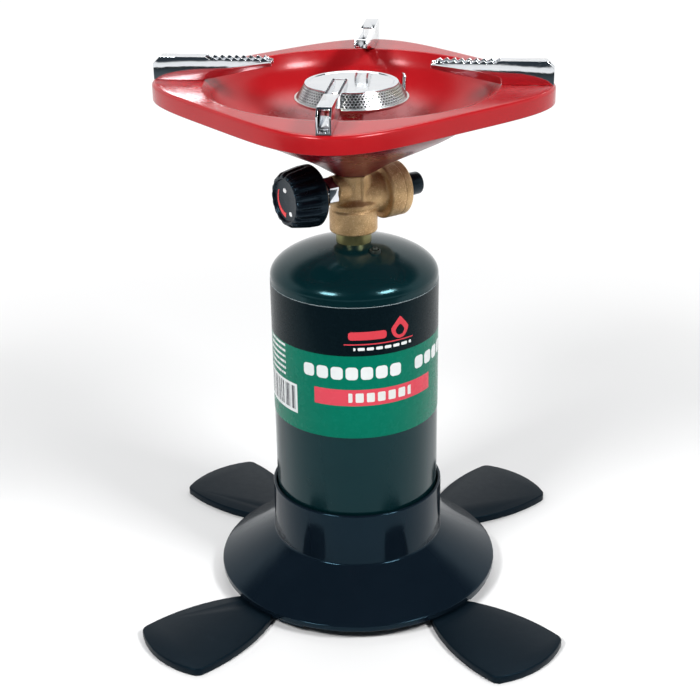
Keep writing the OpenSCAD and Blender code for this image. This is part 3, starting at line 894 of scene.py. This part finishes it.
# %% Valve body
AXIS = joint("knob_turn")["pos_m"][2] / MM
KNOB_WAY = Vector(joint("knob_turn")["axis"]).normalized()
VENT_LOW, VENT_HIGH = box_mm("vent_cap")
BOSS_AXIS = (VENT_LOW.z + VENT_HIGH.z) / 2
BODY_LOW, BODY_HIGH = (corner.z for corner in box_mm("valve_body"))
SPIGOT_R, SPIGOT_H = 6.4, 7.0
BODY_TOP = BODY_HIGH - SPIGOT_H
CUP_R, BODY_R = 13.8, 10.4
GROOVE_LOW, GROOVE_HIGH, GROOVE_DEPTH = 237.2, 239.8, 0.9
CUP_TOP = 241.6
BORE_R, BORE_TOP = 12.7, 238.2
BOSS_R, BOSS_NECK_R, BOSS_START, BOSS_SPLIT, BOSS_END = 16.0, 11.4, 16.8, 26.4, 31.4
SIDE_R, SIDE_L, PACKING_R = 8.4, 14, 5.9
RIB_R, RIB_LOW, RIB_H = 1.4, 242, 16.4


def along(mesh, way, up):
    """Lays a turned mesh down at a height, its own Z pointing along a level direction."""
    turn = Vector(way).to_track_quat("Z", "X").to_matrix().to_4x4()
    return shifted(mesh, Matrix.Translation((0, 0, up * MM)) @ turn)


def turned_solid(*corners, steps=96):
    """A closed solid turned from an open outline that starts and ends on the axis."""
    return lathe(rounded(corners, closed=False), steps, closed=False)


def make_body():
    groove_r = CUP_R - GROOVE_DEPTH
    cup = turned_solid(
        (0, BODY_LOW), (CUP_R, BODY_LOW, 0.8), (CUP_R, GROOVE_LOW, 0.3),
        (groove_r, GROOVE_LOW + 0.8, 0.3), (groove_r, GROOVE_HIGH - 0.8, 0.3),
        (CUP_R, GROOVE_HIGH, 0.3), (CUP_R, CUP_TOP, 1.2), (BODY_R, CUP_TOP + 3, 1),
        (BODY_R, BODY_TOP, 0.8), (SPIGOT_R, BODY_TOP), (SPIGOT_R, BODY_HIGH, 0.5), (0, BODY_HIGH))
    boss = turned_solid(
        (0, 0), (BOSS_NECK_R, 0), (BOSS_NECK_R, BOSS_START, 1.2), (BOSS_R, BOSS_START, 1.2),
        (BOSS_R, BOSS_SPLIT), (0, BOSS_SPLIT))
    side = turned_solid((0, 0), (SIDE_R, 0), (SIDE_R, SIDE_L, 0.7), (0, SIDE_L))
    forms = [cup, along(boss, -KNOB_WAY, BOSS_AXIS), along(side, KNOB_WAY, AXIS)]
    across = Vector((0, 0, 1)).cross(KNOB_WAY)
    for way in (across, -across):
        rib = turned_solid((0, 0), (RIB_R, 0), (RIB_R, RIB_H, 0.8), (0, RIB_H), steps=24)
        place = way * ((BODY_R - 0.3) * MM) + Vector((0, 0, RIB_LOW * MM))
        forms.append(shifted(rib, Matrix.Translation(place)))
    body = merged("valve_casting", forms)
    remesh = body.modifiers.new("weld", "REMESH")
    remesh.mode = "VOXEL"
    remesh.voxel_size = 0.42 * MM
    smooth = body.modifiers.new("fillets", "SMOOTH")
    smooth.factor = 0.5
    smooth.iterations = 4
    return applied(body)


def cut_out(piece, *cutters):
    """Cuts closed meshes out of a piece."""
    for mesh in cutters:
        tool = add("cutter", mesh)
        cutter = piece.modifiers.new("cut", "BOOLEAN")
        cutter.object = tool
        cutter.operation = "DIFFERENCE"
        cutter.solver = "EXACT"
        applied(piece)
        bpy.data.objects.remove(tool)
    return piece


def plug(r, z_low, z_high, steps=96):
    """A closed plain cylinder to cut with."""
    return lathe([(0, z_low), (r, z_low), (r, z_high), (0, z_high)], steps, closed=False)


body = make_body()
packing = along(plug(PACKING_R, 8, 20, 64), KNOB_WAY, AXIS)
cut_out(body, plug(BORE_R, BODY_LOW - 2, BORE_TOP), packing)
attach(wear(body, CAST_BRASS, 50), "stove_head", "cast_brass", "valve_body")

# %% [markdown]
# The regulator's brass end and the black vent cap lie on one level axis, and the packing nut
# and the knob on another, a little higher. They are turned upright and then laid down.

# %% Pieces on the two level axes
VENT_R = 6.95
cap_end = turned_solid(
    (0, BOSS_SPLIT), (BOSS_R - 0.1, BOSS_SPLIT, 0.3), (BOSS_R, BOSS_END, 1.3),
    (9.5, BOSS_END, 0.6), (8.6, BOSS_END + 0.4, 0.4), (4, BOSS_END + 0.4), (4, BOSS_END + 5),
    (0, BOSS_END + 5))
attach(wear(add("regulator_end", along(cap_end, -KNOB_WAY, BOSS_AXIS)), CAST_BRASS),
       "stove_head", "cast_brass", "regulator_cap")
vent = lathe(rounded([
    (4.02, BOSS_END + 0.6), (VENT_R, BOSS_END + 0.6, 0.5), (6.5, BOSS_END + 13.9, 1.2),
    (3.2, BOSS_END + 14, 0.5), (3.2, BOSS_END + 12, 0.3), (0, BOSS_END + 12),
    (0, BOSS_END + 5.2), (4.02, BOSS_END + 5.2)], closed=False), 64)
attach(wear(add("vent_knob", along(vent, -KNOB_WAY, BOSS_AXIS)), BLACK), "stove_head",
       "black_plastic", "vent_cap")
nut = softened("packing_nut", "packing_gland", 0.35, 2, 35)
attach(wear(nut, CHROME), "stove_head", "plated_steel", "packing_nut")

# %% [markdown]
# ## The control knob
# The knob is a moulded cup with eighteen flutes for the fingers. Geometry Nodes presses the
# flutes in: the tree takes a plain turned blank and moves every point of its side inwards by
# a wave of its angle. The number of flutes, their depth and where they start are named inputs.

# %% Geometry Nodes helpers
def node_group(name, sizes):
    """An empty geometry tree with named number inputs. Returns its graph and its values."""
    tree = bpy.data.node_groups.new(name, "GeometryNodeTree")
    tree.interface.new_socket("Geometry", in_out="OUTPUT", socket_type="NodeSocketGeometry")
    tree.interface.new_socket("Geometry", in_out="INPUT", socket_type="NodeSocketGeometry")
    for key, value in sizes.items():
        kind = "NodeSocketInt" if isinstance(value, int) else "NodeSocketFloat"
        socket = tree.interface.new_socket(key, in_out="INPUT", socket_type=kind)
        socket.default_value = value
    graph = Graph(tree)
    source = tree.nodes.new("NodeGroupInput")
    values = {key: Value(graph, source.outputs[key]) for key in ["Geometry", *sizes]}
    return graph, values


def close_tree(graph, geometry, material):
    """Ends a tree: real geometry, with its material."""
    real = graph.node("GeometryNodeRealizeInstances", [geometry])
    painted = graph.node("GeometryNodeSetMaterial", {"Geometry": real, "Material": material})
    out = graph.tree.nodes.new("NodeGroupOutput")
    graph.tree.links.new(painted.socket, out.inputs[0])


def grown(piece, graph, sizes):
    """Runs a tree on a piece with its sizes, and keeps the result as a plain mesh."""
    modifier = piece.modifiers.new("shape", "NODES")
    modifier.node_group = graph.tree
    for item in graph.tree.interface.items_tree:
        if item.in_out == "INPUT" and item.name in sizes:
            modifier[item.identifier] = sizes[item.name]
    return applied(piece)


print("geometry tools are ready")

# %% Control knob
KNOB_REAR, KNOB_L, KNOB_R = 26.2, 19.2, 17.6
KNOB_FACE = KNOB_REAR + KNOB_L
STEM_R, STEM_END = 2.5, 39
FLUTES, FLUTE_DEPTH = 18, 1.0


def flute_tree(sizes):
    graph, given = node_group("knob_flutes", sizes)
    x, y, z = graph.xyz(graph.node("GeometryNodeInputPosition"))
    reach = (x * x + y * y).math("SQRT")
    angle = y.math("ARCTAN2", x)
    wave = ((angle * given["Flutes"]).math("COSINE") * 0.5 + 0.5) ** 2.0
    fade = graph.smooth(z, given["Start"], given["Full"])
    side = graph.smooth(reach, given["Inner"], given["Outer"])
    squeeze = 1.0 - wave * fade * side * given["Depth"] / reach.math("MAXIMUM", 0.001)
    place = graph.node("ShaderNodeCombineXYZ", [x * squeeze, y * squeeze, z])
    moved = graph.node("GeometryNodeSetPosition", {
        "Geometry": given["Geometry"], "Position": place})
    close_tree(graph, moved, BLACK)
    return graph


def make_knob():
    sizes = {"Flutes": FLUTES, "Depth": FLUTE_DEPTH * MM, "Start": (KNOB_REAR + 3.5) * MM,
             "Full": (KNOB_REAR + 8) * MM, "Inner": 12.4 * MM, "Outer": 14.4 * MM}
    face, rear = KNOB_FACE, KNOB_REAR
    blank = lathe(rounded([
        (STEM_R, rear + 1), (8.6, rear + 1), (8.6, rear), (16.4, rear, 0.6),
        (KNOB_R, rear + 1.4, 0.8), (KNOB_R, rear + 5.5, 2), (KNOB_R - 0.5, rear + 9),
        (KNOB_R - 1.0, rear + 12), (KNOB_R - 1.9, face - 2.6, 2), (KNOB_R - 3.3, face - 0.5, 1),
        (KNOB_R - 4.4, face, 0.6), (KNOB_R - 5.3, face, 0.5), (KNOB_R - 6.1, face - 1.5, 0.5),
        (3, face - 1.8, 2), (0, face - 1.8), (0, STEM_END), (STEM_R, STEM_END)],
        steps=4), 216)
    knob = grown(add("knob_grip", blank), flute_tree(sizes), sizes)
    along(knob.data, KNOB_WAY, AXIS)
    return knob


attach(wear(make_knob(), BLACK, 45), "knob", "black_plastic", "control_knob")

# %% [markdown]
# The knob's face has a red arc that widens from one end to the other, and a small white tab near
# each end. They are thin raised shapes, like hot-stamped foil, set on the dished face.

# %% Marks on the knob's face
DIAL_FACE = KNOB_FACE - 1.78
ARC_R, ARC_START, ARC_SWEEP, INK_T = 9.0, 150, 114, 0.3
MARKS = [(-1.6, 5.2, 1.5, 1.2), (4.1, -7.0, 1.4, 1.2)]    # x, y, half width, half height


def dial_arc():
    """A thin band that follows a circle and widens as it goes."""
    steps = 28
    bm = bmesh.new()
    rows = []
    for k in range(steps + 1):
        t = k / steps
        a = math.radians(ARC_START + ARC_SWEEP * t)
        half = 0.35 + 0.95 * t
        section = ((ARC_R - half, DIAL_FACE), (ARC_R + half, DIAL_FACE),
                   (ARC_R + half, DIAL_FACE + INK_T), (ARC_R - half, DIAL_FACE + INK_T))
        rows.append([bm.verts.new((r * MM * math.cos(a), r * MM * math.sin(a), z * MM))
                     for r, z in section])
    for one, two in zip(rows, rows[1:]):
        for k in range(4):
            bm.faces.new((one[k], one[(k + 1) % 4], two[(k + 1) % 4], two[k]))
    bm.faces.new(rows[0])
    bm.faces.new(rows[-1])
    bmesh.ops.recalc_face_normals(bm, faces=bm.faces)
    arc = bpy.data.meshes.new("dial_arc")
    bm.to_mesh(arc)
    bm.free()
    return arc


def dial_mark(x, y, half_width, half_height):
    """A small tab with rounded edges."""
    bm = bmesh.new()
    bmesh.ops.create_cube(bm, size=2)
    bmesh.ops.bevel(bm, geom=bm.edges, offset=0.35, segments=3, affect="EDGES")
    mark = bpy.data.meshes.new("dial_mark")
    bm.to_mesh(mark)
    bm.free()
    size = Matrix.Diagonal((half_width * MM, half_height * MM, INK_T / 2 * MM, 1))
    return shifted(mark, Matrix.Translation(Vector((x, y, DIAL_FACE + INK_T / 2)) * MM) @ size)


def on_face(mesh):
    """Lays a mark on the knob's face, its own Y pointing straight up."""
    up = Vector((0, 0, 1))
    lay = Matrix((up.cross(KNOB_WAY), up, KNOB_WAY)).transposed().to_4x4()
    return shifted(mesh, Matrix.Translation((0, 0, AXIS * MM)) @ lay)


arc = add("dial_arc", on_face(dial_arc()))
attach(wear(arc, DIAL_RED), "knob", "dial_red", "knob_dial_mark")
marks = merged("dial_marks", [on_face(dial_mark(*mark)) for mark in MARKS])
attach(wear(marks, DIAL_WHITE), "knob", "dial_red")

# %% [markdown]
# ## The pan
# A pressed steel pan: a round bowl that spreads into a square flange with rounded corners and a
# turned-down band. The section is turned as if the pan were round, and Geometry Nodes then pulls
# the flange out to a rounded square: every point moves out by a rule of its angle, in full at
# the edge and not at all in the bowl. The rule's two reaches are named inputs.

# %% Drip pan
PAN_Z = box_mm("drip_pan")[1].z
BAND_DEPTH = 9.8
PAN_T = 1.2
BOWL_R = 82.4
FLANGE_R, CORNER_R = 92.5, 111.5
PAN_TURN = math.atan2(joint("pot_support_1_swing")["pos_m"][1],
                      joint("pot_support_1_swing")["pos_m"][0])


def spline(points, steps=6):
    """A smooth line through a few (r, z) points."""
    knots = [Vector(p) for p in points]
    ends = [knots[0] * 2 - knots[1], *knots, knots[-1] * 2 - knots[-2]]
    line = []
    for i in range(1, len(ends) - 2):
        p0, p1, p2, p3 = ends[i - 1:i + 3]
        for s in range(steps):
            t = s / steps
            line.append(0.5 * (2 * p1 + (p2 - p0) * t + (2 * p0 - 5 * p1 + 4 * p2 - p3) * t * t
                               + (3 * p1 - p0 - 3 * p2 + p3) * t ** 3))
    line.append(knots[-1])
    return line


def offset(line, distance):
    """A line moved sideways by a distance, to its left."""
    moved = []
    for i, here in enumerate(line):
        ahead = line[min(i + 1, len(line) - 1)] - line[max(i - 1, 0)]
        moved.append(here + Vector((-ahead.y, ahead.x)).normalized() * distance)
    return moved


def pull_tree(sizes):
    graph, given = node_group("pull_to_square", sizes)
    x, y, z = graph.xyz(graph.node("GeometryNodeInputPosition"))
    reach = (x * x + y * y).math("SQRT").math("MAXIMUM", 1e-6)
    cosine = (x / reach).math("ABSOLUTE")
    sine = (y / reach).math("ABSOLUTE")
    # The exponent of the rounded square that passes through both reaches
    ratio = (given["Corner reach"] / given["Side reach"]).math("LOGARITHM", 2.0)
    power = 1.0 / (0.5 - ratio)
    diagonal_cos = ((cosine + sine) * math.sqrt(0.5)) ** power
    diagonal_sin = ((cosine - sine).math("ABSOLUTE") * math.sqrt(0.5)) ** power
    square = 1.0 / (diagonal_cos + diagonal_sin) ** (1.0 / power)
    share = graph.smooth(reach, given["Bowl edge"], given["Flange edge"])
    stretch = 1.0 + (square - 1.0) * share
    place = graph.node("ShaderNodeCombineXYZ", [x * stretch, y * stretch, z])
    moved = graph.node("GeometryNodeSetPosition", {
        "Geometry": given["Geometry"], "Position": place})
    close_tree(graph, moved, PAN)
    return graph


def make_pan():
    wall = spline([(11, BODY_TOP), (15.5, 261.4), (26, 267.9), (45, 277.5), (60, 285.5),
                   (70, 292.6), (76.5, 299.4), (79.6, 304.6)])
    top_wall = offset(wall, PAN_T)
    lip = rounded([tuple(top_wall[-1]), (BOWL_R - 0.6, PAN_Z, 1.2), (84.5, PAN_Z)], closed=False,
                  steps=6)[1:]
    flange = [Vector((84.5 + k * 0.75, PAN_Z)) for k in range(1, 6)]
    edge = rounded([(88.5, PAN_Z), (FLANGE_R, PAN_Z, 3.2), (FLANGE_R, PAN_Z - BAND_DEPTH, 0.4),
                    (FLANGE_R - PAN_T, PAN_Z - BAND_DEPTH, 0.4),
                    (FLANGE_R - PAN_T, PAN_Z - PAN_T, 2.2),
                    (88, PAN_Z - PAN_T)], closed=False, steps=6)[1:]
    under = [Vector((87.5 - k * 0.75, PAN_Z - PAN_T)) for k in range(6)]
    line = ([Vector((6.5, BODY_TOP + PAN_T)), Vector((9, BODY_TOP + PAN_T))] + top_wall + lip
            + flange + edge + under + list(reversed(wall)) + [Vector((6.5, BODY_TOP))])
    sizes = {"Corner reach": CORNER_R * MM, "Side reach": FLANGE_R * MM,
             "Bowl edge": 83.4 * MM, "Flange edge": 88.6 * MM}
    pan = grown(add("pan_pressing", lathe(line, 288)), pull_tree(sizes), sizes)
    pan.data.transform(Matrix.Rotation(PAN_TURN, 4, "Z"))
    # How far each point faces down, for the painted shade under the pan
    under = pan.data.attributes.new("under", "FLOAT", "POINT")
    under.data.foreach_set("value", [max(0.0, -v.normal.z) for v in pan.data.vertices])
    return pan


attach(wear(make_pan(), PAN), "stove_head", "red_enamel", "drip_pan")

# %% [markdown]
# ## The burner
# A spun dish with a rolled edge, a conical band full of small holes where the flames come out,
# and a flat cap. The holes are real. Geometry Nodes starts from a plain band of staggered
# triangles and takes its dual, which is a honeycomb. Each cell is inset and its middle is
# deleted, and the web that is left is given its thickness.

# %% Perforated band
BASE_HIGH = box_mm("burner_base")[1]
CAP_HIGH = box_mm("burner_cap")[1]
BURNER_R, CAP_R, CAP_Z = BASE_HIGH.x, CAP_HIGH.x, CAP_HIGH.z
BAND_Z = (BASE_HIGH.z, CAP_Z - 0.9)


def band_tree(sizes):
    graph, given = node_group("perforated_band", sizes)
    tube = graph.node("GeometryNodeMeshCylinder", {
        "Vertices": given["Holes round"], "Side Segments": given["Rows"],
        "Radius": 1.0, "Depth": 1.0}, fill_type="NONE")
    x, y, z = graph.xyz(graph.node("GeometryNodeInputPosition"))
    row = ((z + 0.5) * given["Rows"]).math("ROUND")
    angle = y.math("ARCTAN2", x) + (row.math("MODULO", 2.0) * math.pi) / given["Holes round"]
    lean = given["Low radius"] + (given["High radius"] - given["Low radius"]) * (z + 0.5)
    place = graph.node("ShaderNodeCombineXYZ", [
        angle.math("COSINE") * lean, angle.math("SINE") * lean,
        given["Foot"] + (z + 0.5) * given["Height"]])
    cone = graph.node("GeometryNodeSetPosition", {"Geometry": tube, "Position": place})
    triangles = graph.node("GeometryNodeTriangulate", [cone])
    comb = graph.node("GeometryNodeDualMesh", {"Mesh": triangles, "Keep Boundaries": True})
    inset = graph.node("GeometryNodeExtrudeMesh", {
        "Mesh": comb, "Offset Scale": 0.0, "Individual": True}, mode="FACES")
    node = inset.socket.node
    tops = Value(graph, node.outputs["Top"])
    shrunk = graph.node("GeometryNodeScaleElements", {
        "Geometry": inset, "Selection": tops, "Scale": given["Opening"]})
    open_web = graph.node("GeometryNodeDeleteGeometry", {
        "Geometry": shrunk, "Selection": tops}, domain="FACE")
    welded = graph.node("GeometryNodeMergeByDistance", {
        "Geometry": open_web, "Distance": 1e-6})
    close_tree(graph, welded, PLATED)
    return graph


def make_band():
    sizes = {"Holes round": 92, "Rows": 6, "Low radius": (BURNER_R - 1.2) * MM,
             "High radius": (CAP_R + 0.1) * MM, "Foot": BAND_Z[0] * MM,
             "Height": (BAND_Z[1] - BAND_Z[0]) * MM, "Opening": 0.7}
    seed = bpy.data.meshes.new("seed")
    band = grown(add("burner_perforations", seed), band_tree(sizes), sizes)
    wall = band.modifiers.new("wall", "SOLIDIFY")
    wall.thickness = 0.5 * MM
    wall.offset = -1
    return applied(band)


attach(wear(make_band(), PLATED, 60), "stove_head", "plated_steel", "burner_band")

# %% [markdown]
# Behind the holes the inside of the burner lies in shade. A thin black sleeve just inside the band
# paints that shade and keeps stray reflections out of them, so the holes read as holes.

# %% Shade sleeve, dish, cap and clip of the burner
# Painted shade: a black sleeve behind the holes stands for the shade inside the burner
sleeve = lathe([(BURNER_R - 3.1, BAND_Z[0] + 0.4), (CAP_R - 1.8, BAND_Z[1] - 0.3),
                (CAP_R - 2.1, BAND_Z[1] - 0.3), (BURNER_R - 3.4, BAND_Z[0] + 0.4)])
attach(wear(add("burner_shade_sleeve", sleeve), SHADE_BLACK), "stove_head", "plated_steel")
dish = lathe(rounded([
    (5.45, 288), (6.4, 288, 0.3), (6.6, 291.6, 1.5), (15, 294.8, 4), (25, 298.2, 3),
    (BURNER_R - 1, BAND_Z[0] - 1.8, 1), (BURNER_R, BAND_Z[0] - 0.7, 0.8),
    (BURNER_R - 0.3, BAND_Z[0] + 0.25, 0.5), (BURNER_R - 1.5, BAND_Z[0] + 0.2, 0.4),
    (24.6, 299.3, 2), (14.6, 296, 3), (5.45, 293)], steps=5), 160)
attach(wear(add("burner_dish", dish), PLATED), "stove_head", "plated_steel", "burner_base")
lid = lathe(rounded([
    (0, CAP_Z - 0.8), (CAP_R - 0.6, CAP_Z - 1.0, 0.2), (CAP_R, CAP_Z - 0.9, 0.2),
    (CAP_R, CAP_Z - 0.1, 0.45), (CAP_R - 2.2, CAP_Z - 0.05, 0.6),
    (CAP_R - 3.0, CAP_Z - 0.45, 0.6), (0, CAP_Z - 0.3)], closed=False, steps=5),
    160, closed=False)
attach(wear(add("burner_lid", lid), CHROME), "stove_head", "bright_chrome", "burner_cap")
clip = softened("burner_clip", "burner_ear", 0.25, 2, 35)
attach(wear(clip, CHROME), "stove_head", "bright_chrome", "burner_clip")

# %% [markdown]
# ## Pot supports and fasteners
# Each support is a folded channel of bright sheet with two toothed edges. Its outline comes from
# the frame, and a fine bevel gives the folds the thin highlights of polished metal.

# %% Pot supports
for number in range(1, 5):
    support = softened(f"pot_support_{number}", f"pot_rest_{number}", 0.28, 2, 35)
    wear(support, CHROME, 50)
    attach(support, f"pot_support_{number}_body", "bright_chrome", f"pot_support_{number}")

# %% [markdown]
# Four rivets hold the supports. A tree places one turned rivet at each corner of a square ring
# of points and makes the copies real, so all four stay the same.

# %% Rivets
rivet_low, rivet_high = box_mm("support_rivets")
RIVET_R = Vector(joint("pot_support_1_swing")["pos_m"][:2]).length


def ring_tree(sizes, material):
    graph, given = node_group("ring_of_copies", sizes)
    ring = graph.node("GeometryNodeMeshCircle", {
        "Vertices": given["Count"], "Radius": given["Ring radius"]})
    copies = graph.node("GeometryNodeInstanceOnPoints", {
        "Points": ring, "Instance": given["Geometry"]})
    close_tree(graph, copies, material)
    return graph


rivet_mesh = lathe(rounded([
    (0, rivet_low.z), (2.6, rivet_low.z, 0.3), (2.6, rivet_low.z + 1.2), (1.98, rivet_low.z + 1.2),
    (1.98, rivet_high.z - 1.2), (2.6, rivet_high.z - 1.2, 0.2), (2.4, rivet_high.z - 0.4, 0.5),
    (1.2, rivet_high.z, 0.5), (0, rivet_high.z)], closed=False), 32, closed=False)
rivet_sizes = {"Count": 4, "Ring radius": RIVET_R}
rivets = grown(add("rivet_heads", rivet_mesh), ring_tree(rivet_sizes, ZINC), rivet_sizes)
rivets.data.transform(Matrix.Rotation(PAN_TURN, 4, "Z"))
attach(wear(rivets, ZINC), "stove_head", "zinc_screw", "support_rivets")

# %% [markdown]
# ## Parts that keep their own mesh
# Washers, springs, seals, the jet and the stem are small or hidden, and their shapes in the frame
# are already right. They only need their finishes.

# %% Finishes on the carried-over parts
KEPT = {
    "foot_pivot_screws": ZINC, "cylinder_valve_core": TURNED_BRASS, "valve_core_spring": PLATED,
    "neck_gasket": RUBBER, "inlet_probe": TURNED_BRASS, "regulator_diaphragm": RUBBER,
    "regulator_spring": PLATED, "valve_stem": ZINC, "stem_o_ring": RUBBER,
    "gas_jet": TURNED_BRASS, "burner_tube": PLATED, "pan_washer": ZINC, "pan_nut": TURNED_BRASS,
}
for node_name, material in KEPT.items():
    part = frame["nodes"][node_name]
    part.data.materials.clear()
    part.data.materials.append(material)
print("kept", len(KEPT), "parts from the frame")
